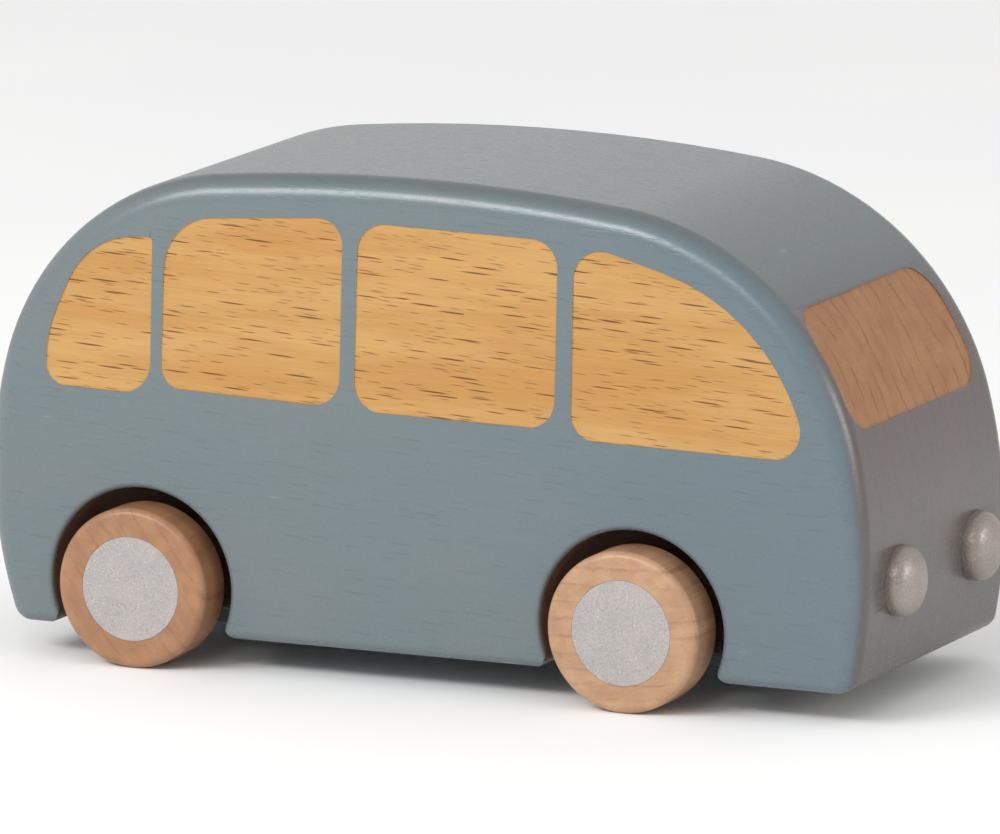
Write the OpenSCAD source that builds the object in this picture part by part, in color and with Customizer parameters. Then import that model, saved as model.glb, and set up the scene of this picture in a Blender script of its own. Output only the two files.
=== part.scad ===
// Wooden toy bus: a solid beech block on two turning wheelsets, with two turned lamp knobs.
// +X is the front, +Y the bus's left, +Z up. The ground is at zero, under the middle of the bus.

/* [Body block] */
// Width of the block between its flat sides
body_w = 72; // [69:0.5:80]
// Height of the roof's crown above the ground
roof_top = 96.8; // [94.4:0.2:101.4]
// Height of the flat underside above the ground
underside_z = 6.3; // [5:0.1:7.5]
// Distance of the roof's crown ahead of the middle of the wheelbase
crown_x = 2.6; // [1:0.2:4]
// Radius of the long roof arc
roof_r = 388; // [370:2:410]
// Radius of the shoulder between roof and front wall
front_shoulder_r = 55.8; // [54:0.2:58]
// Radius of the bulging front wall
front_wall_r = 101; // [96:1:110]
// Radius of the shoulder between roof and rear wall
rear_shoulder_r = 51; // [49:0.2:53]
// Radius of the bulging rear wall
rear_wall_r = 84.5; // [80:0.5:90]
// Rounding of the edges along the roof, front and rear
edge_r = 5; // [3:0.2:6]
// Rounding of the front and rear upright edges at their foot
foot_edge_r = 3.6; // [2:0.2:4]
// Rounding of the front and rear bottom edges
bottom_r = 4.2; // [3.8:0.2:6]
// Rounding of the bottom edges along both sides
sill_r = 2; // [1:0.1:3]

/* [Wheels] */
// Distance between the two axles
wheelbase = 101.6; // [98:0.2:104]
// Diameter of a wheel
wheel_d = 30.8; // [29.4:0.2:32.4]
// Width of a wheel
wheel_w = 10; // [9:0.2:12]
// How far a wheel's face stands out from the block's side
wheel_stand = 4.5; // [3:0.1:6]
// Rounding of a wheel's outer edge
wheel_edge_r = 1.5; // [1:0.1:2.5]
// Rounding of a wheel's inner edge
wheel_back_r = 1.2; // [0.5:0.1:2]
// Diameter of the silver disc in a wheel's face
disc_d = 20; // [16:0.2:22]
// Thickness of that disc
disc_t = 1.6; // [1:0.1:2.5]
// Diameter of an axle dowel
axle_d = 8; // [6:0.5:10]
// Diameter of a spacer sleeve
spacer_d = 14; // [12.5:0.5:15]

/* [Wheel wells] */
// Diameter of a well
well_d = 37.2; // [36:0.2:39.6]
// Depth of a well from the block's side
well_depth = 15.5; // [13:0.5:18]
// Rounding of a well's mouth
mouth_r = 1.2; // [0.6:0.1:2]
// Rounding of the block's bottom corners beside a well
corner_r = 2.5; // [1:0.1:3.5]

/* [Windows] */
// Depth of the bare-wood windows below the painted face
paint_film = 0.2; // [0.1:0.05:0.4]
// Distance of the front side window from the block's outline where they are nearest
window_margin = 6.2; // [5.6:0.2:7]
// Width of the windscreen
screen_w = 59.4; // [52:0.2:60]
// Height of the windscreen's lower edge
screen_low = 55.1; // [53.5:0.2:57.5]
// Height of the windscreen's upper edge
screen_high = 76.8; // [71.4:0.2:77.4]
// Rounding of the windscreen's corners
screen_r = 6; // [2:0.2:7]
// Offset of the windscreen to the bus's left
screen_shift = -1.8; // [-2:0.2:2]

/* [Headlights] */
// Diameter of a lamp knob
lamp_d = 13.4; // [12:0.2:15]
// Length of the knob's straight rim
lamp_rim = 1.2; // [0.8:0.1:2]
// Height of the knob's dome
lamp_dome = 4.2; // [3.4:0.1:5]
// Rounding between the knob's rim and its dome
lamp_edge_r = 3.2; // [2:0.1:3.3]
// Height of the lamps above the ground
lamp_z = 25.4; // [24:0.2:28]
// Distance of a lamp from the block's nearer side
lamp_inset = 17.4; // [15:0.2:20]
// Diameter of a knob's glued tenon
tenon_d = 6; // [5:0.2:7]
// Length of that tenon
tenon_l = 10; // [8:0.5:12]

/* [Clearances] */
// Radial clearance of an axle in the block
run_gap = 0.1; // [0.05:0.01:0.1]
// Radial clearance of a glued fit
glue_gap = 0.05; // [0.02:0.01:0.1]
// Side play between a spacer and the well's floor
side_play = 0.4; // [0.3:0.1:0.8]

/* [Hidden] */

$fn = 96;
paint = [0.46, 0.53, 0.56];
beech = [0.82, 0.64, 0.44];
silver = [0.76, 0.75, 0.74];

// Overlap that lets cutters run past the faces they cut
past = 1;
half_w = body_w / 2;
axle_z = wheel_d / 2;

// Directions in the side view, in degrees from +X, where one arc of the outline hands on to the next
roof_front_angle = 83.4;
front_wall_angle = 13.4;
roof_rear_angle = 95.8;
rear_wall_angle = 166.5;

// Centre of an arc that meets another one smoothly at a given direction
function next_centre(centre, r, next_r, angle) = centre + (r - next_r) * [cos(angle), sin(angle)];

roof_c = [crown_x, roof_top - roof_r];
front_shoulder_c = next_centre(roof_c, roof_r, front_shoulder_r, roof_front_angle);
front_wall_c = next_centre(front_shoulder_c, front_shoulder_r, front_wall_r, front_wall_angle);
rear_shoulder_c = next_centre(roof_c, roof_r, rear_shoulder_r, roof_rear_angle);
rear_wall_c = next_centre(rear_shoulder_c, rear_shoulder_r, rear_wall_r, rear_wall_angle);

// Centre of the round bottom edge between a wall and the underside
function foot_centre(wall_c, wall_r, side) =
    let (rise = underside_z + bottom_r - wall_c.y)
    wall_c + [side * sqrt(pow(wall_r - bottom_r, 2) - rise * rise), rise];

front_foot_c = foot_centre(front_wall_c, front_wall_r, 1);
rear_foot_c = foot_centre(rear_wall_c, rear_wall_r, -1);
front_foot_angle = heading(front_foot_c - front_wall_c);
rear_foot_angle = heading(rear_foot_c - rear_wall_c) + 360;

// Directions straight down, at the outline's two ends
first_angle = -90;
last_angle = 270;

// Arcs of the outline from the front's foot over the roof to the rear's foot:
// centre, radius, first and last direction, first and last rounding of the edge along the arc
outline = [
    [front_foot_c, bottom_r, first_angle, front_foot_angle, sill_r, foot_edge_r],
    [front_wall_c, front_wall_r, front_foot_angle, front_wall_angle, foot_edge_r, edge_r],
    [front_shoulder_c, front_shoulder_r, front_wall_angle, roof_front_angle, edge_r, edge_r],
    [roof_c, roof_r, roof_front_angle, roof_rear_angle, edge_r, edge_r],
    [rear_shoulder_c, rear_shoulder_r, roof_rear_angle, rear_wall_angle, edge_r, edge_r],
    [rear_wall_c, rear_wall_r, rear_wall_angle, rear_foot_angle, edge_r, foot_edge_r],
    [rear_foot_c, bottom_r, rear_foot_angle, last_angle, foot_edge_r, sill_r]
];

// Lamp seats are spot-faced this deep into the curved front
lamp_seat = 0.4;
lamp_y = half_w - lamp_inset;
lamp_dz = lamp_z - front_wall_c.y;
lamp_x = front_wall_c.x + sqrt(front_wall_r * front_wall_r - lamp_dz * lamp_dz) - lamp_seat;
lamp_tip_x = lamp_x + lamp_rim + lamp_dome;
rear_x = rear_wall_c.x - rear_wall_r;

// The drawing's zero is the middle of the wheelbase, and the part's zero is the middle of its length
middle_x = (rear_x + lamp_tip_x) / 2;

wheel_face_y = half_w + wheel_stand;
wheel_back_y = wheel_face_y - wheel_w;
well_floor_y = half_w - well_depth;
disc_y = wheel_face_y - disc_t;
spacer_l = wheel_back_y - well_floor_y - side_play;

function point(centre, r, angle) = centre + r * [cos(angle), sin(angle)];
function unit(v) = v / norm(v);
function heading(v) = atan2(v.y, v.x);
function turn(a) = a > 180 ? a - 360 : a < -180 ? a + 360 : a;

// Points of the round corner at c, between the straight edges from p and to n
function round_corner(p, c, n, r, steps) =
    let (u = unit(p - c), v = unit(n - c))
    let (half = acos(u * v) / 2)
    let (centre = c + unit(u + v) * r / sin(half))
    let (start = heading(c + u * r / tan(half) - centre))
    let (sweep = turn(heading(c + v * r / tan(half) - centre) - start))
    [for (i = [0:steps]) point(centre, r, start + sweep * i / steps)];

// Outline with round corners, from a list of corners that each hold x, height and rounding
function rounded(corners, steps = 8) =
    let (count = len(corners))
    let (at = [for (c = corners) [c.x, c.y]])
    [for (i = [0:count - 1])
        each round_corner(at[(i + count - 1) % count], at[i], at[(i + 1) % count], corners[i].z, steps)];

// Corner that gives a stretch of arc its tangents on both sides
function arc_corner(centre, r, from, to) =
    let (c = point(centre, r / cos((to - from) / 2), (from + to) / 2))
    [c.x, c.y, r];

// The front side window's curve lies ahead of the front shoulder's centre, and ends at these directions
curve_ahead = 9.5;
curve_ahead_angle = 21;
curve_start_angle = 78.8;
curve_end_angle = 24.6;
curve_c = point(front_shoulder_c, curve_ahead, curve_ahead_angle);
window_r = front_shoulder_r - window_margin - curve_ahead;
front_curve = arc_corner(curve_c, window_r, curve_start_angle, curve_end_angle);

// Corners of the side windows: distance ahead of the crown, depth below it, rounding
window_corners = [
    [[-73.2, -44, 4.1], [-73, -33.9, 27], [-64.2, -15, 16.1], [-50.6, -14.3, 0.9], [-51.3, -44.7, 6.1]],
    [[-49.1, -43, 4.3], [-47.9, -10.5, 10.8], [-10.9, -7.8, 4.9], [-11.8, -44.1, 5.6]],
    [[-8.8, -44.4, 5.5], [-7.8, -8.4, 5.7], [33.3, -9.1, 5.4], [32.5, -44.9, 5.5]],
    [[35.8, -46.4, 4.9], [36.5, -8.6, 5.8]]
];
front_window_end = [84.8, -47.2, 5.6];

function from_crown(c) = [crown_x + c.x, roof_top + c.y, c.z];

windows = [
    for (i = [0:3])
        rounded(concat(
            [for (c = window_corners[i]) from_crown(c)],
            i == 3 ? [front_curve, from_crown(front_window_end)] : []
        ))
];

// Turns a drawing in the side view into a solid across the bus
module across(y_from, y_to) {
    translate([0, y_to, 0])
        rotate([90, 0, 0])
            linear_extrude(y_to - y_from)
                children();
}

// Cylinder across the bus
module round_across(x, z, y_from, y_to, d) {
    translate([x, y_to, z])
        rotate([90, 0, 0])
            cylinder(d = d, h = y_to - y_from);
}

// Copies its child to the bus's left and right
module both_sides() {
    children();
    mirror([0, 1, 0])
        children();
}

// Stations along the outline, closer on tight arcs: centre, radius, direction, rounding of the edge
sag = 0.02;
function arc_steps(arc) = ceil((arc[3] - arc[2]) / (2 * acos(1 - sag / arc[1])));
function station(arc, share) = [
    arc[0], arc[1],
    arc[2] + (arc[3] - arc[2]) * share,
    arc[4] + (arc[5] - arc[4]) * share
];
stations = concat(
    [for (arc = outline, i = [0:arc_steps(arc) - 1]) station(arc, i / arc_steps(arc))],
    [station(outline[len(outline) - 1], 1)]
);

// Points across the bus at one station, from the right side over the rounded edges to the left side
edge_steps = 7;
edge_turns = [for (i = [0:edge_steps]) 90 * i / edge_steps];
function rib(at) = [
    for (side = [-1, 1], i = [0:edge_steps])
        let (tilt = edge_turns[side < 0 ? edge_steps - i : i])
        let (p = point(at[0], at[1] - at[3] * (1 - cos(tilt)), at[2]))
        [p.x, side * (half_w - at[3] + at[3] * sin(tilt)), p.y]
];

// The block before anything is cut from it, as one skin over all ribs
module loaf() {
    count = len(stations);
    row = 2 * (edge_steps + 1);
    polyhedron(
        points = [for (at = stations) each rib(at)],
        faces = concat(
            [[for (i = [count - 1:-1:0]) i * row]],
            [[for (i = [0:count - 1]) i * row + row - 1]],
            [for (i = [0:count - 1], j = [0:row - 2])
                let (here = i * row + j, ahead = (i + 1) % count * row + j)
                each [[here, ahead, ahead + 1], [here, ahead + 1, here + 1]]]
        )
    );
}

// Round pocket for a wheel, with a rounded mouth and rounded bottom corners
module well(x) {
    round_across(x, axle_z, well_floor_y, half_w + past, well_d);
    translate([x, half_w, axle_z])
        rotate([-90, 0, 0])
            rotate_extrude()
                difference() {
                    translate([0, -mouth_r])
                        square([well_d / 2 + mouth_r, mouth_r + past]);
                    translate([well_d / 2 + mouth_r, -mouth_r])
                        circle(r = mouth_r);
                }
    for (side = [-1, 1])
        well_corner(x, side);
}

// Material outside the round corner between a well and the underside
module well_corner(x, side) {
    drop = underside_z + corner_r - axle_z;
    run = sqrt(pow(well_d / 2 + corner_r, 2) - drop * drop);
    tip = sqrt(pow(well_d / 2, 2) - pow(axle_z - underside_z, 2)) - past;
    centre = [x + side * run, axle_z + drop];
    difference() {
        across(well_floor_y, half_w + past)
            polygon([
                centre,
                [centre.x, underside_z - past],
                [x + side * tip, underside_z - past],
                centre - (corner_r + past) * unit([side * run, drop])
            ]);
        round_across(centre.x, centre.y, -body_w, body_w, 2 * corner_r);
    }
}

module axle_bore(x) {
    round_across(x, axle_z, -half_w, half_w, axle_d + 2 * run_gap);
}

module lamp_socket() {
    translate([lamp_x, lamp_y, lamp_z])
        rotate([0, 90, 0])
            cylinder(d = lamp_d + 2 * glue_gap, h = lamp_seat + past);
    translate([lamp_x - tenon_l - past, lamp_y, lamp_z])
        rotate([0, 90, 0])
            cylinder(d = tenon_d + 2 * glue_gap, h = tenon_l + 2 * past);
}

// Shallow field of bare wood on a shoulder arc, seen from the front or the rear
module end_window(centre, r, side, raise) {
    intersection() {
        translate([centre.x, 0, 0])
            rotate([90, 0, side * 90])
                linear_extrude(r + past)
                    translate([side * screen_shift, raise])
                        polygon(rounded([
                            [-screen_w / 2, screen_low, screen_r],
                            [-screen_w / 2, screen_high, screen_r],
                            [screen_w / 2, screen_high, screen_r],
                            [screen_w / 2, screen_low, screen_r]
                        ]));
        difference() {
            round_across(centre.x, centre.y, -half_w, half_w, 2 * (r + past));
            round_across(centre.x, centre.y, -body_w, body_w, 2 * (r - paint_film));
        }
    }
}

module window_fields() {
    both_sides()
        for (outline_points = windows)
            across(half_w - paint_film, half_w + past)
                polygon(outline_points);
    end_window(front_shoulder_c, front_shoulder_r, 1, 0);
    end_window(rear_shoulder_c, rear_shoulder_r, -1, rear_shoulder_c.y - front_shoulder_c.y);
}

module body() {
    translate([-middle_x, 0, 0])
        difference() {
            color(paint)
                loaf();
            color(beech)
                window_fields();
            color(beech)
                for (x = [-wheelbase / 2, wheelbase / 2]) {
                    both_sides()
                        well(x);
                    axle_bore(x);
                }
            color(beech)
                both_sides()
                    lamp_socket();
        }
}

// Puts a piece drawn at the left wheel's place on one corner of the bus
module at_corner(end, side) {
    translate([end * wheelbase / 2 - middle_x, 0, axle_z])
        mirror([0, side < 0 ? 1 : 0, 0])
            rotate([-90, 0, 0])
                children();
}

module axle(end) {
    color(beech)
        translate([end * wheelbase / 2 - middle_x, 0, 0])
            round_across(0, axle_z, -disc_y, disc_y, axle_d);
}

// Half section of a wheel: bored through, with a recess for the silver disc
module wheel_section() {
    r = wheel_d / 2;
    bore_r = axle_d / 2 + glue_gap;
    recess_r = disc_d / 2 + glue_gap;
    difference() {
        translate([bore_r, wheel_back_y])
            square([r - bore_r, wheel_w]);
        translate([bore_r - past, disc_y])
            square([recess_r - bore_r + past, disc_t + past]);
        difference() {
            translate([r - wheel_edge_r, wheel_face_y - wheel_edge_r])
                square(wheel_edge_r + past);
            translate([r - wheel_edge_r, wheel_face_y - wheel_edge_r])
                circle(r = wheel_edge_r);
        }
        difference() {
            translate([r - wheel_back_r, wheel_back_y - past])
                square([wheel_back_r + past, wheel_back_r + past]);
            translate([r - wheel_back_r, wheel_back_y + wheel_back_r])
                circle(r = wheel_back_r);
        }
    }
}

module wheel(end, side) {
    color(beech)
        at_corner(end, side)
            rotate_extrude()
                wheel_section();
}

module hub_disc(end, side) {
    color(silver)
        at_corner(end, side)
            translate([0, 0, disc_y])
                cylinder(d = disc_d, h = disc_t);
}

module spacer(end, side) {
    color(beech)
        at_corner(end, side)
            translate([0, 0, wheel_back_y - spacer_l])
                difference() {
                    cylinder(d = spacer_d, h = spacer_l);
                    translate([0, 0, -past])
                        cylinder(d = axle_d + 2 * glue_gap, h = spacer_l + 2 * past);
                }
}

// Half section of a knob's head: straight rim, rounded edge and a dome
module lamp_section() {
    rim_r = lamp_d / 2;
    top = lamp_rim + lamp_dome;
    edge_c = [rim_r - lamp_edge_r, lamp_rim];
    dome_r = (edge_c.x * edge_c.x + lamp_dome * lamp_dome - lamp_edge_r * lamp_edge_r)
        / (2 * (lamp_dome - lamp_edge_r));
    dome_c = [0, top - dome_r];
    meet = dome_c + (dome_r + past) * unit(edge_c - dome_c);
    intersection() {
        square([rim_r, top]);
        union() {
            square([rim_r, lamp_rim]);
            translate(edge_c)
                circle(r = lamp_edge_r);
            intersection() {
                translate(dome_c)
                    circle(r = dome_r);
                polygon([dome_c, meet, [meet.x, top + past], [0, top + past]]);
            }
        }
    }
}

// Turned knob on its tenon
module headlight(side) {
    color(silver)
        translate([lamp_x - middle_x, side * lamp_y, lamp_z])
            rotate([0, 90, 0]) {
                translate([0, 0, -tenon_l])
                    cylinder(d = tenon_d, h = tenon_l);
                rotate_extrude()
                    lamp_section();
            }
}

body();
axle(1);  // front_axle
axle(-1);  // rear_axle
wheel(1, 1);  // wheel_front_left
wheel(1, -1);  // wheel_front_right
wheel(-1, 1);  // wheel_rear_left
wheel(-1, -1);  // wheel_rear_right
hub_disc(1, 1);  // hub_disc_front_left
hub_disc(1, -1);  // hub_disc_front_right
hub_disc(-1, 1);  // hub_disc_rear_left
hub_disc(-1, -1);  // hub_disc_rear_right
spacer(1, 1);  // spacer_front_left
spacer(1, -1);  // spacer_front_right
spacer(-1, 1);  // spacer_rear_left
spacer(-1, -1);  // spacer_rear_right
headlight(1);  // headlight_left
headlight(-1);  // headlight_right
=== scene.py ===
"""Wooden toy bus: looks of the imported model, in a plain studio."""
import math

import bpy
from mathutils import Matrix, Vector


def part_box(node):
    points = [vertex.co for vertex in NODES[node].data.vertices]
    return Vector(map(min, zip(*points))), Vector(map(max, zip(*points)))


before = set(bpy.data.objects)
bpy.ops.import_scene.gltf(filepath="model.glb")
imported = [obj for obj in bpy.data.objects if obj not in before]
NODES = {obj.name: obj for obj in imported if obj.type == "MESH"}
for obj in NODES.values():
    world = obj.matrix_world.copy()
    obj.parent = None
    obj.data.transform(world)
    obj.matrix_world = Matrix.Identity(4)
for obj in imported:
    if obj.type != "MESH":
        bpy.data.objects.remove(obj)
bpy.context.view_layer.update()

MM = 0.001

# Sizes of the block that the materials follow, in millimetres, in the part's own frame
HALF_W = 36.0
PAINT_FILM = 0.2
WELL_R = 18.6
MOUTH_R = 1.2
WINDOWS_FROM = 48.0
FRONT_SHOULDER = (31.088, 38.798, 55.8)
REAR_SHOULDER = (-41.15, 44.075, 51.0)
END_WINDOWS_FROM, END_WINDOWS_TO = 50.0, 86.0
END_WINDOW_MARGIN = 3.0

# Limits of the tests that sort the block's faces, lengths in millimetres
# How far a facet may lie off a well's radius, a side window's depth and an end window's arc
WELL_SLACK = 0.05
SIDE_SLACK = 0.02
ARC_SLACK = 0.08
# How far an end window's step may reach below its floor, and how squarely it may face outward
STEP_SLACK = 0.1
STEP_FACING = 0.5
# Share of a direction that counts as none
FLAT = 0.01

# Places of the block's materials in its list
PAINT, SIDE_FIELD, END_FIELD, WELL = range(4)

# Facets' corners closer than this, in metres, are joined for the shading
WELD_REACH = 2e-6
# How strongly a large face pulls the shading over a small one
SHADE_WEIGHT = 50


def middle(node):
    """Middle of a node's box, in millimetres."""
    low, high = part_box(node)
    return (low + high) / 2 / MM


AXLES = {end: middle(end + "_axle") for end in ("front", "rear")}

# Camera at the photograph's view
VIEW_AZIMUTH = 24.515
VIEW_ELEVATION = 10.563
VIEW_DISTANCE = 2.5
VIEW_AIM = (-0.007185, 0.01129, 0.04386)
VIEW_LENS = 471.79
SENSOR = 36.0

# The block's grain: tilt in degrees, width of a growth ring and how far it sways, in millimetres
GRAIN_TILT = -2.0
RING_MM = 4.6
RING_CURVE = 11.0
# Shift of the flecks along the grain with height, which keeps them out of columns
FLECK_SLANT = 6.3

# Soft lights: direction from the bus, distance and size in metres, power in watts
LIGHTS = {
    "key_light": ((-0.408, -0.713, 0.567), 1.6, (0.9, 0.46), 12.2),
    "strip_light": ((0.0, -0.82, 0.57), 1.6, (1.0, 0.26), 4.8),
    "back_light": ((-0.35, 0.9, 0.32), 1.8, (1.8, 0.7), 1.0),
    "fill_light": ((0.95, 0.05, 0.3), 1.5, (0.5, 0.5), 4.4),
}
LIGHT_AIM = (0.0, 0.0, 0.05)
SKY_STRENGTH = 0.72
SKY_COLOR = (1.0, 1.0, 1.0, 1.0)
FLOOR_REACH = 6.0


def srgb(r, g, b):
    """Linear colour of a display colour given from 0 to 255."""
    def lin(c):
        c /= 255.0
        return c / 12.92 if c <= 0.04045 else ((c + 0.055) / 1.055) ** 2.4
    return (lin(r), lin(g), lin(b), 1.0)


class Shader:
    """Node graph of one material, ending in one Principled surface."""

    def __init__(self, name):
        self.material = bpy.data.materials.new(name)
        self.material.use_nodes = True
        tree = self.material.node_tree
        self.nodes = tree.nodes
        self.links = tree.links
        self.nodes.clear()
        out = self.nodes.new("ShaderNodeOutputMaterial")
        self.skin = self.nodes.new("ShaderNodeBsdfPrincipled")
        self.links.new(self.skin.outputs[0], out.inputs[0])

    def put(self, socket, value):
        if isinstance(value, bpy.types.NodeSocket):
            self.links.new(value, socket)
        else:
            socket.default_value = value

    def math(self, op, a, b=0.0):
        n = self.nodes.new("ShaderNodeMath")
        n.operation = op
        self.put(n.inputs[0], a)
        self.put(n.inputs[1], b)
        return n.outputs[0]

    def vector(self, op, a, b):
        n = self.nodes.new("ShaderNodeVectorMath")
        n.operation = op
        self.put(n.inputs[0], a)
        self.put(n.inputs[1], b)
        return n.outputs["Value"] if op == "DOT_PRODUCT" else n.outputs[0]

    def point(self, origin=(0.0, 0.0, 0.0), tilt=0.0):
        """Place on the piece in millimetres from an origin, turned about Y by a tilt in degrees."""
        n = self.nodes.new("ShaderNodeTexCoord")
        at = self.vector("MULTIPLY", n.outputs["Object"], (1.0 / MM,) * 3)
        at = self.vector("SUBTRACT", at, tuple(origin))
        if tilt == 0.0:
            return at
        turn = self.nodes.new("ShaderNodeVectorRotate")
        turn.rotation_type = "Y_AXIS"
        self.put(turn.inputs["Vector"], at)
        turn.inputs["Angle"].default_value = math.radians(tilt)
        return turn.outputs[0]

    def split(self, at):
        n = self.nodes.new("ShaderNodeSeparateXYZ")
        self.put(n.inputs[0], at)
        return n.outputs[0], n.outputs[1], n.outputs[2]

    def join(self, x, y, z):
        n = self.nodes.new("ShaderNodeCombineXYZ")
        for socket, value in zip(n.inputs, (x, y, z)):
            self.put(socket, value)
        return n.outputs[0]

    def normal(self):
        """Direction of the surface in the piece's own frame."""
        return self.split(self.nodes.new("ShaderNodeTexCoord").outputs["Normal"])

    def noise(self, at, cell, detail=2.0, rough=0.5):
        """Noise from 0 to 1 whose blotches have the given lengths along X, Y and Z, in millimetres."""
        n = self.nodes.new("ShaderNodeTexNoise")
        self.put(n.inputs["Vector"], self.vector("DIVIDE", at, cell))
        n.inputs["Scale"].default_value = 1.0
        n.inputs["Detail"].default_value = detail
        n.inputs["Roughness"].default_value = rough
        return n.outputs[0]

    def cells(self, at, cell):
        """Distance to the nearest of scattered points, and three random numbers that go with it."""
        n = self.nodes.new("ShaderNodeTexVoronoi")
        self.put(n.inputs["Vector"], self.vector("DIVIDE", at, cell))
        n.inputs["Scale"].default_value = 1.0
        return n.outputs["Distance"], self.split(n.outputs["Color"])

    def step(self, value, low, high, start=0.0, end=1.0):
        """Smooth step of a value between two limits."""
        n = self.nodes.new("ShaderNodeMapRange")
        n.interpolation_type = "SMOOTHSTEP"
        self.put(n.inputs["Value"], value)
        for name, limit in (("From Min", low), ("From Max", high), ("To Min", start), ("To Max", end)):
            self.put(n.inputs[name], limit)
        return n.outputs[0]

    def mix(self, share, a, b):
        n = self.nodes.new("ShaderNodeMix")
        n.data_type = "RGBA"
        self.put(n.inputs[0], share)
        self.put(n.inputs[6], a)
        self.put(n.inputs[7], b)
        return n.outputs[2]

    def scale_color(self, color, factor):
        """Colour made lighter or darker by a factor."""
        return self.vector("MULTIPLY", color, self.join(factor, factor, factor))

    def bump(self, height, depth_mm):
        """Relief of the surface whose height from 0 to 1 stands for a depth in millimetres."""
        n = self.nodes.new("ShaderNodeBump")
        n.inputs["Strength"].default_value = 1.0
        n.inputs["Distance"].default_value = depth_mm * MM
        self.put(n.inputs["Height"], height)
        self.links.new(n.outputs[0], self.skin.inputs["Normal"])

    def finish(self, color, roughness):
        self.put(self.skin.inputs["Base Color"], color)
        self.put(self.skin.inputs["Roughness"], roughness)
        return self.material


def flecks(g, at, cell, share, size):
    """Spindle marks in stretched cells: each cell has one with the given share, up to a size in cells."""
    distance, (luck, length, _) = g.cells(at, cell)
    radius = g.math("MULTIPLY", g.step(luck, 1.0 - share, 1.0, 0.35, 1.0), size)
    there = g.step(luck, 1.0 - share, 1.0 - share + 0.02)
    mark = g.step(g.math("DIVIDE", distance, radius), 0.5, 1.0, 1.0, 0.0)
    tone = g.step(length, 0.0, 1.0, 0.6, 1.0)
    return g.math("MULTIPLY", g.math("MULTIPLY", mark, there), tone)


class Grain:
    """Solid beech: growth rings across one axis, fibres and dark spindle flecks along another."""

    def __init__(self, g, at, along, ring_axis, ring_mm, curve_mm):
        def stretched(long, wide):
            cell = [wide, wide, wide]
            cell[along] = long
            return cell

        slow = g.noise(at, stretched(70.0, 26.0), 0.0)
        shake = g.noise(at, stretched(30.0, 3.2), 2.0)
        sway = g.math("MULTIPLY", g.math("SUBTRACT", slow, 0.5), curve_mm)
        sway = g.math("ADD", sway, g.math("MULTIPLY", g.math("SUBTRACT", shake, 0.5), 0.34 * ring_mm))
        rings = g.math("DIVIDE", g.math("ADD", g.split(at)[ring_axis], sway), ring_mm)
        phase = g.math("FRACT", rings)
        late = g.step(phase, 0.72, 0.96)
        line = g.math("MULTIPLY", late, g.step(phase, 0.96, 1.0, 1.0, 0.0))
        broken = g.step(g.noise(at, stretched(12.0, 4.5), 2.0), 0.38, 0.62, 0.15, 1.0)
        self.ring_line = g.math("MULTIPLY", line, broken)
        self.band = g.noise(at, stretched(60.0, 7.0), 3.0)
        self.fibre = g.noise(at, stretched(14.0, 0.32), 3.0, 0.6)
        self.figure = g.noise(at, stretched(34.0, 3.4), 3.0, 0.6)
        parts = list(g.split(at))
        parts[along] = g.math("ADD", parts[along], g.math("MULTIPLY", parts[2], FLECK_SLANT))
        slanted = g.join(*parts)
        self.long_flecks = flecks(g, slanted, stretched(9.2, 0.54), 0.54, 0.41)
        self.short_flecks = flecks(g, slanted, stretched(4.8, 0.43), 0.56, 0.4)


def bare_wood(g, grain, light, dark, fleck, ring_depth, fleck_depth):
    """Colour of bare beech and the height of its pores."""
    share = g.step(g.math("ADD", g.math("MULTIPLY", grain.band, 0.5),
                          g.math("MULTIPLY", grain.figure, 0.5)), 0.36, 0.64)
    color = g.mix(share, light, dark)
    color = g.scale_color(color, g.step(grain.fibre, 0.25, 0.75, 0.935, 1.06))
    color = g.mix(g.math("MULTIPLY", grain.ring_line, ring_depth), color, fleck)
    marks = g.math("MAXIMUM", grain.long_flecks, g.math("MULTIPLY", grain.short_flecks, 0.6))
    color = g.mix(g.math("MULTIPLY", marks, fleck_depth), color, fleck)
    height = g.math("SUBTRACT", g.math("MULTIPLY", grain.fibre, 0.5), g.math("MULTIPLY", marks, 0.7))
    return color, height


def block_grain(g):
    return Grain(g, g.point(tilt=GRAIN_TILT), along=0, ring_axis=1, ring_mm=RING_MM, curve_mm=RING_CURVE)


def window_wood():
    """Bare field on the block's sides."""
    g = Shader("window_wood")
    color, height = bare_wood(
        g, block_grain(g), light=srgb(190, 148, 90), dark=srgb(180, 132, 73), fleck=srgb(92, 50, 10),
        ring_depth=0.05, fleck_depth=0.95)
    g.bump(height, 0.05)
    g.skin.inputs["Specular IOR Level"].default_value = 0.3
    return g.finish(color, g.step(height, -0.5, 0.5, 0.56, 0.42))


def screen_wood_and_shade():
    """Bare field on the block's ends, where the growth rings come to the surface. Its colours are darker
    than the side fields', partly as the end grain's own tone and partly as painted shade of the ends.
    """
    g = Shader("screen_wood_and_shade")
    # Darker than the side fields: partly the end grain's own tone, partly painted shade.
    color, height = bare_wood(
        g, block_grain(g), light=srgb(160, 113, 72), dark=srgb(150, 101, 61), fleck=srgb(98, 55, 29),
        ring_depth=0.5, fleck_depth=0.3)
    g.bump(height, 0.04)
    return g.finish(color, g.step(height, -0.5, 0.5, 0.6, 0.48))


def shaded_well_wood():
    """Bare wood inside the wells, bores and sockets, much darker than the side fields as painted shade of
    the deep wells.
    """
    g = Shader("shaded_well_wood")
    # Dark brown colours: painted shade of the bare beech deep in the wells.
    color, height = bare_wood(
        g, block_grain(g), light=srgb(112, 84, 70), dark=srgb(98, 70, 58), fleck=srgb(58, 38, 28),
        ring_depth=0.3, fleck_depth=0.5)
    g.bump(height, 0.08)
    return g.finish(color, g.step(height, -0.5, 0.5, 0.8, 0.68))


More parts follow.
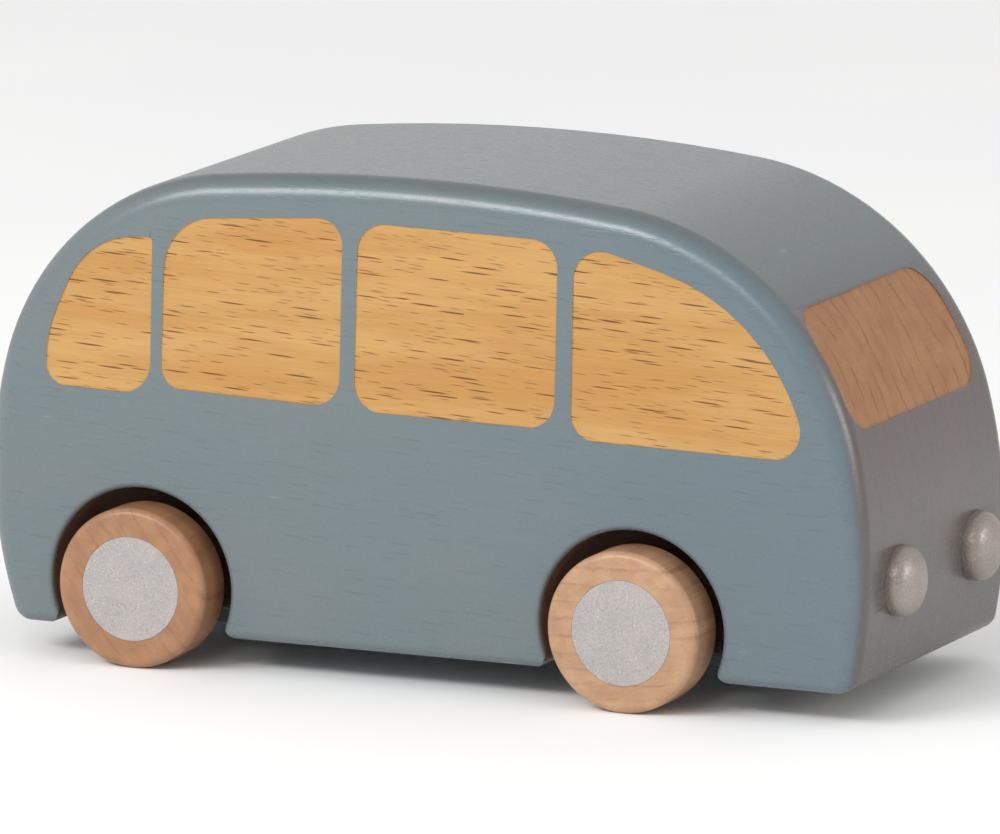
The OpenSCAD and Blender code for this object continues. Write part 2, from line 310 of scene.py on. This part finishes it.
def end_share(g, nx, ny, nz):
    """Share of end grain in the surface, from its direction; a downward tilt doesn't count."""
    rise = g.math("MAXIMUM", nz, 0.0)
    return g.step(g.vector("DOT_PRODUCT", g.vector("NORMALIZE", g.join(nx, ny, rise), (0.0, 0.0, 0.0)),
                           g.join(g.math("SIGN", nx), 0.0, 0.0)), 0.55, 0.95)


def end_paint_and_shade(g, at):
    """Paint soaked into end grain: warm grey with rosy patches above and cooler ones below. Its dark tone
    is partly the end grain's own and partly painted shade of the ends.
    """
    patch = g.noise(at, (20.0, 13.0, 26.0), 3.0)
    color = g.mix(g.step(patch, 0.36, 0.64), srgb(86, 84, 82), srgb(93, 85, 81))
    z = g.split(at)[2]
    return g.mix(g.step(z, 20.0, 50.0, 0.0, 0.6), color, srgb(96, 83, 80))


def scratches(g, at):
    """A few short pale scratches along the block."""
    distance, (luck, _, _) = g.cells(at, (16.0, 16.0, 1.6))
    mark = g.step(distance, 0.05, 0.17, 1.0, 0.0)
    return g.math("MULTIPLY", g.math("MULTIPLY", mark, g.step(luck, 0.965, 0.97)), 0.5)


def block_paint():
    """Satin blue-grey paint that lets the grain show, warmer where it soaked into end grain and darker
    there partly as painted shade, greyer on the roof as painted reflection of the sky.
    """
    g = Shader("block_paint")
    at = g.point()
    grain = block_grain(g)
    x = g.split(at)[0]
    cloud = g.noise(at, (42.0, 42.0, 30.0), 3.0)
    color = g.mix(g.step(cloud, 0.3, 0.7), srgb(99, 112, 116), srgb(104, 114, 116))
    color = g.mix(g.step(x, -20.0, 80.0, 0.0, 0.75), color, srgb(92, 108, 117))
    nx, ny, nz = g.normal()
    # Painted reflection: faces that look up get a darker, greyer paint that stands in for the white sky's
    # reflection on the roof.
    painted_roof_reflection = g.step(nz, 0.5, 0.95)
    color = g.mix(painted_roof_reflection, color, srgb(90, 96, 97))
    end = end_share(g, nx, ny, nz)
    # The ends' darker paint: partly the end grain's own tone, partly painted shade.
    color = g.mix(end, color, end_paint_and_shade(g, at))
    streak = g.step(grain.fibre, 0.25, 0.75, 0.98, 1.02)
    color = g.scale_color(color, streak)
    marks = g.math("MAXIMUM", grain.long_flecks, g.math("MULTIPLY", grain.short_flecks, 0.6))
    color = g.scale_color(color, g.step(marks, 0.0, 1.0, 1.0, 0.84))
    rings = g.math("MULTIPLY", grain.ring_line, end)
    color = g.scale_color(color, g.step(rings, 0.0, 1.0, 1.0, 0.86))
    color = g.mix(scratches(g, at), color, srgb(176, 184, 186))
    fine = g.noise(at, (0.9, 0.9, 0.9), 2.0)
    height = g.math("ADD", g.math("MULTIPLY", grain.fibre, 0.4), g.math("MULTIPLY", fine, 0.08))
    height = g.math("SUBTRACT", height, g.math("MULTIPLY", marks, 0.6))
    g.bump(height, 0.03)
    g.skin.inputs["Specular IOR Level"].default_value = 0.58
    return g.finish(color, g.step(fine, 0.2, 0.8, 0.25, 0.31))


def wheel_wood(name, centre, turn, light, dark):
    """Beech turned with its grain along the axle, so that the face shows end grain."""
    g = Shader(name)
    at = g.point(centre, turn)
    grain = Grain(g, at, along=1, ring_axis=2, ring_mm=3.1, curve_mm=3.4)
    color, height = bare_wood(
        g, grain, light, dark, fleck=srgb(122, 78, 48), ring_depth=0.34, fleck_depth=0.25)
    patch = g.noise(at, (5.0, 30.0, 1.6), 3.0, 0.6)
    color = g.scale_color(color, g.step(patch, 0.3, 0.7, 0.93, 1.06))
    rays, (luck, _, _) = g.cells(at, (0.8, 30.0, 5.0))
    ray = g.math("MULTIPLY", g.step(rays, 0.05, 0.3, 1.0, 0.0), g.step(luck, 0.72, 0.76))
    color = g.mix(g.math("MULTIPLY", ray, 0.4), color, srgb(128, 84, 52))
    g.bump(height, 0.05)
    return g.finish(color, g.step(height, -0.5, 0.5, 0.48, 0.36))


def dowel_wood():
    """Plain beech of the axles and spacers."""
    g = Shader("dowel_wood")
    color, height = bare_wood(
        g, Grain(g, g.point(), along=1, ring_axis=2, ring_mm=3.0, curve_mm=4.0),
        light=srgb(168, 127, 94), dark=srgb(156, 114, 80), fleck=srgb(100, 61, 34),
        ring_depth=0.4, fleck_depth=0.5)
    g.bump(height, 0.05)
    return g.finish(color, g.step(height, -0.5, 0.5, 0.62, 0.5))


def silver_paint(name, light, dark, metallic, flake_mm):
    """Silver paint with fine glitter in it."""
    g = Shader(name)
    at = g.point()
    distance, (luck, lean, shine) = g.cells(at, (flake_mm,) * 3)
    cloud = g.noise(at, (6.0, 6.0, 6.0), 2.0)
    color = g.mix(g.step(cloud, 0.3, 0.7), light, dark)
    fleck = g.step(luck, 0.0, 0.16, 0.8, 1.0)
    color = g.scale_color(color, g.math("MULTIPLY", fleck, g.step(lean, 0.0, 1.0, 0.93, 1.07)))
    glint = g.math("MULTIPLY", g.step(shine, 0.86, 0.95), g.step(distance, 0.1, 0.6, 0.55, 0.0))
    color = g.mix(glint, color, srgb(236, 234, 232))
    height = g.math("ADD", lean, g.math("MULTIPLY", g.noise(at, (0.5, 0.5, 0.5), 2.0), 1.6))
    g.bump(height, 0.05)
    g.skin.inputs["Metallic"].default_value = metallic
    return g.finish(color, g.step(luck, 0.0, 1.0, 0.34, 0.5))


def floor_paper():
    """Pale studio paper with a faint tooth."""
    g = Shader("floor_paper")
    at = g.point()
    cloud = g.noise(at, (220.0, 220.0, 220.0), 2.0)
    color = g.mix(g.step(cloud, 0.3, 0.7), srgb(249, 249, 248), srgb(246, 246, 246))
    g.bump(g.noise(at, (0.6, 0.6, 0.6), 3.0), 0.02)
    return g.finish(color, 0.85)


def near_axle(polygon, mesh, radius):
    """Whether every corner of a face lies within a radius of one of the axles, in the side view."""
    corners = [mesh.vertices[i].co / MM for i in polygon.vertices]
    return any(all(math.hypot(c.x - axle.x, c.z - axle.z) <= radius for c in corners)
               for axle in AXLES.values())


def on_shoulder(centre, shoulder, normal):
    """Whether a face lies in the bared field of an end window: its floor, or the step up to the paint."""
    x, z, r = shoulder
    out = Vector((centre.x - x, 0.0, centre.z - z))
    off = out.length - (r - PAINT_FILM)
    facing = abs(out.normalized().dot(normal))
    floor = abs(off) < ARC_SLACK and abs(normal.y) < FLAT
    step = (-STEP_SLACK < off < PAINT_FILM and facing < STEP_FACING
            and abs(centre.y) < HALF_W - END_WINDOW_MARGIN)
    return (floor or step) and END_WINDOWS_FROM < centre.z < END_WINDOWS_TO


def in_side_window(centre, normal):
    """Whether a face lies in a bared field on a side: its floor, or the step up to the paint."""
    depth = HALF_W - abs(centre.y)
    floor = abs(depth - PAINT_FILM) < SIDE_SLACK and abs(normal.y) > 1.0 - FLAT
    step = 0.0 < depth < PAINT_FILM and abs(normal.y) < FLAT
    return (floor or step) and centre.z > WINDOWS_FROM


def dress_block():
    """Gives the block its paint, its bare fields and its wells, face by face."""
    block = NODES["body"]
    mesh = block.data
    mesh.materials.clear()
    for material in (block_paint(), window_wood(), screen_wood_and_shade(), shaded_well_wood()):
        mesh.materials.append(material)
    for polygon in mesh.polygons:
        centre = polygon.center / MM
        normal = polygon.normal
        if near_axle(polygon, mesh, WELL_R + WELL_SLACK) and abs(centre.y) < HALF_W - MOUTH_R:
            polygon.material_index = WELL
        elif in_side_window(centre, normal):
            polygon.material_index = SIDE_FIELD
        elif any(on_shoulder(centre, shoulder, normal) for shoulder in (FRONT_SHOULDER, REAR_SHOULDER)):
            polygon.material_index = END_FIELD
        else:
            polygon.material_index = PAINT
    smooth(block)


def smooth(piece):
    """Joins the facets' corners, and lets the large faces rule the shading."""
    weld = piece.modifiers.new("weld", "WELD")
    weld.merge_threshold = WELD_REACH
    shade = piece.modifiers.new("shade", "WEIGHTED_NORMAL")
    shade.mode = "FACE_AREA"
    shade.weight = SHADE_WEIGHT


def dress(node, material):
    mesh = NODES[node].data
    mesh.materials.clear()
    mesh.materials.append(material)


# How far each wheel's grain is turned, and its lighter and darker colour
WHEELS = {
    "front_right": (4.0, srgb(183, 145, 111), srgb(172, 132, 102)),
    "rear_right": (-52.0, srgb(162, 119, 85), srgb(152, 109, 79)),
    "front_left": (-27.0, srgb(168, 126, 94), srgb(161, 118, 86)),
    "rear_left": (64.0, srgb(179, 142, 110), srgb(172, 133, 101)),
}


def dress_wheels():
    disc = silver_paint(
        "disc_silver", srgb(179, 172, 170), srgb(172, 167, 165), metallic=0.3, flake_mm=0.25)
    dowel = dowel_wood()
    for corner, (turn, light, dark) in WHEELS.items():
        axle = AXLES[corner.split("_")[0]]
        dress("wheel_" + corner, wheel_wood("wheel_wood_" + corner, axle, turn, light, dark))
        dress("hub_disc_" + corner, disc)
        dress("spacer_" + corner, dowel)
    dress("front_axle", dowel)
    dress("rear_axle", dowel)


def dress_lamps():
    lamp = silver_paint(
        "lamp_silver", srgb(168, 157, 151), srgb(158, 148, 143), metallic=0.75, flake_mm=0.22)
    for side in ("left", "right"):
        dress("headlight_" + side, lamp)


def add_floor():
    mesh = bpy.data.meshes.new("studio_floor")
    r = FLOOR_REACH
    corners = [(-r, -r, 0), (r, -r, 0), (r, r, 0), (-r, r, 0)]
    mesh.from_pydata(corners, [], [(0, 1, 2, 3)])
    mesh.materials.append(floor_paper())
    floor = bpy.data.objects.new("studio_floor", mesh)
    bpy.context.scene.collection.objects.link(floor)


def add_light(name, toward, distance, size, watts):
    """Soft rectangular light that shines on the bus from a direction."""
    data = bpy.data.lights.new(name, "AREA")
    data.shape = "RECTANGLE"
    data.size, data.size_y = size
    data.energy = watts
    lamp = bpy.data.objects.new(name, data)
    way = Vector(toward).normalized()
    lamp.location = Vector(LIGHT_AIM) + way * distance
    lamp.rotation_euler = way.to_track_quat("Z", "Y").to_euler()
    bpy.context.scene.collection.objects.link(lamp)


def add_lights():
    for name, (toward, distance, size, watts) in LIGHTS.items():
        add_light(name, toward, distance, size, watts)
    world = bpy.data.worlds.new("studio")
    world.use_nodes = True
    sky = world.node_tree.nodes["Background"]
    sky.inputs["Color"].default_value = SKY_COLOR
    sky.inputs["Strength"].default_value = SKY_STRENGTH
    bpy.context.scene.world = world


def add_camera():
    azimuth = math.radians(VIEW_AZIMUTH)
    elevation = math.radians(VIEW_ELEVATION)
    back = Vector((math.sin(azimuth) * math.cos(elevation),
                   -math.cos(azimuth) * math.cos(elevation),
                   math.sin(elevation)))
    right = Vector((math.cos(azimuth), math.sin(azimuth), 0.0))
    up = back.cross(right)
    data = bpy.data.cameras.new("photo_camera")
    data.sensor_fit = "HORIZONTAL"
    data.sensor_width = SENSOR
    data.lens = VIEW_LENS
    camera = bpy.data.objects.new("photo_camera", data)
    turn = Matrix((right, up, back)).transposed()
    camera.matrix_world = Matrix.Translation(Vector(VIEW_AIM) + back * VIEW_DISTANCE) @ turn.to_4x4()
    bpy.context.scene.collection.objects.link(camera)
    bpy.context.scene.camera = camera


dress_block()
dress_wheels()
dress_lamps()
add_floor()
add_lights()
add_camera()
bpy.context.scene.view_settings.view_transform = "Standard"
